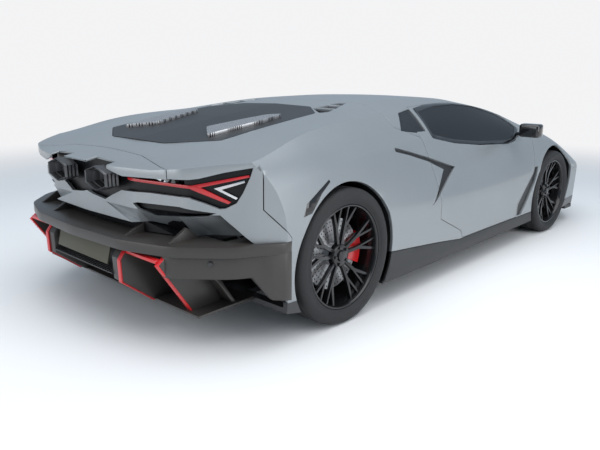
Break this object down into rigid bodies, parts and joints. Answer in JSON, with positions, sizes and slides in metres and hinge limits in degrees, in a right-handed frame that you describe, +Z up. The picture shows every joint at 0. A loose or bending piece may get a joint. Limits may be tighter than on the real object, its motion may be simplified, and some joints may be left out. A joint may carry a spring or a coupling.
{
  "type": "mid-engined two-seat supercar",
  "caption": "Low wedge-shaped two-seat supercar with rising doors, opening lids, steered front wheels and a tilting rear wing; all wheels roll.",
  "frame": {"origin": "on the ground, halfway between nose and tail, on the centre plane", "axes": "+X forward, +Y to the car's left, +Z up"},
  "size_m": [4.947, 2.266, 1.16],
  "materials": {
    "black_trim": "dark satin composite",
    "body_paint": "satin grey paint",
    "cabin_trim": "soft black trim",
    "caliper_red": "gloss red",
    "carbon": "carbon fibre composite",
    "chassis_metal": "forged aluminium",
    "disc_steel": "drilled brake disc",
    "engine_metal": "cast aluminium",
    "exhaust_metal": "dark heat-tinted steel",
    "glass": "dark tinted glass",
    "gloss_black": "gloss black",
    "lamp_lens": "dark clear lens",
    "lamp_red": "red lens",
    "liner_plastic": "textured plastic",
    "rim_black": "gloss black",
    "seat_leather": "black leather",
    "tyre": "rubber"
  },
  "bodies": {
    "chassis": {"tub": "carbon", "roof": "body_paint", "tail_panel": "body_paint", "front_bumper": "body_paint", "front_fenders": "body_paint", "rear_quarters": "body_paint", "fixed_glass": "glass", "side_skirts": "black_trim", "luggage_box": "black_trim", "rear_bumper": "black_trim", "rear_diffuser": "black_trim", "exhaust_tips": "exhaust_metal", "engine_block": "engine_metal", "seats": "seat_leather", "dashboard": "cabin_trim", "headlamps": "lamp_lens", "tail_lamps": "lamp_red", "front_splitter": "black_trim", "arch_liners": "liner_plastic", "front_suspension": "chassis_metal", "rear_suspension": "chassis_metal", "rear_calipers": "caliper_red"},
    "door_left": {"door_left": "body_paint", "door_glass_left": "glass", "mirror_left": "gloss_black"},
    "door_right": {"door_right": "body_paint", "door_glass_right": "glass", "mirror_right": "gloss_black"},
    "front_lid": {"front_lid": "body_paint"},
    "engine_cover": {"engine_cover": "body_paint"},
    "rear_wing": {"rear_wing": "body_paint"},
    "steering_wheel": {"steering_wheel": "cabin_trim"},
    "knuckle_left": {"knuckle_left": "chassis_metal", "caliper_front_left": "caliper_red"},
    "knuckle_right": {"knuckle_right": "chassis_metal", "caliper_front_right": "caliper_red"},
    "wheel_front_left": {"tyre_front_left": "tyre", "rim_front_left": "rim_black", "disc_front_left": "disc_steel"},
    "wheel_front_right": {"tyre_front_right": "tyre", "rim_front_right": "rim_black", "disc_front_right": "disc_steel"},
    "wheel_rear_left": {"tyre_rear_left": "tyre", "rim_rear_left": "rim_black", "disc_rear_left": "disc_steel"},
    "wheel_rear_right": {"tyre_rear_right": "tyre", "rim_rear_right": "rim_black", "disc_rear_right": "disc_steel"}
  },
  "joints": [
    {"name": "door_left_swing", "type": "hinge", "parent": "chassis", "child": "door_left", "pos_m": [0.955, 0.79, 0.87], "axis": [0, 0.866, -0.5], "range_deg": [0, 75]},
    {"name": "door_right_swing", "type": "hinge", "parent": "chassis", "child": "door_right", "pos_m": [0.955, -0.79, 0.87], "axis": [0, 0.866, 0.5], "range_deg": [0, 75]},
    {"name": "front_lid_hinge", "type": "hinge", "parent": "chassis", "child": "front_lid", "pos_m": [1.29, 0, 0.815], "axis": [0, -1, 0], "range_deg": [0, 55]},
    {"name": "engine_cover_hinge", "type": "hinge", "parent": "chassis", "child": "engine_cover", "pos_m": [-0.89, 0, 1.068], "axis": [0, 1, 0], "range_deg": [0, 40]},
    {"name": "rear_wing_hinge", "type": "hinge", "parent": "chassis", "child": "rear_wing", "pos_m": [-2.32, 0, 0.893], "axis": [0, 1, 0], "range_deg": [0, 15]},
    {"name": "steer_left", "type": "hinge", "parent": "chassis", "child": "knuckle_left", "pos_m": [1.3155, 0.805, 0.346], "axis": [0, 0, 1], "range_deg": [-28, 28]},
    {"name": "steer_right", "type": "hinge", "parent": "chassis", "child": "knuckle_right", "pos_m": [1.3155, -0.805, 0.346], "axis": [0, 0, 1], "range_deg": [-28, 28]},
    {"name": "steering_wheel_turn", "type": "hinge", "parent": "chassis", "child": "steering_wheel", "pos_m": [0.455, 0.37, 0.72], "axis": [-0.9272, 0, 0.3746], "range_deg": [-364, 364]},
    {"name": "wheel_front_left_spin", "type": "hinge", "parent": "knuckle_left", "child": "wheel_front_left", "pos_m": [1.3155, 0.85, 0.346], "axis": [0, 1, 0], "continuous": true},
    {"name": "wheel_front_right_spin", "type": "hinge", "parent": "knuckle_right", "child": "wheel_front_right", "pos_m": [1.3155, -0.85, 0.346], "axis": [0, 1, 0], "continuous": true},
    {"name": "wheel_rear_left_spin", "type": "hinge", "parent": "chassis", "child": "wheel_rear_left", "pos_m": [-1.4635, 0.836, 0.368], "axis": [0, 1, 0], "continuous": true},
    {"name": "wheel_rear_right_spin", "type": "hinge", "parent": "chassis", "child": "wheel_rear_right", "pos_m": [-1.4635, -0.836, 0.368], "axis": [0, 1, 0], "continuous": true}
  ],
  "couplings": [
    {"joint": "steer_right", "follows": "steer_left", "ratio": 1},
    {"joint": "steering_wheel_turn", "follows": "steer_left", "ratio": 13}
  ]
}
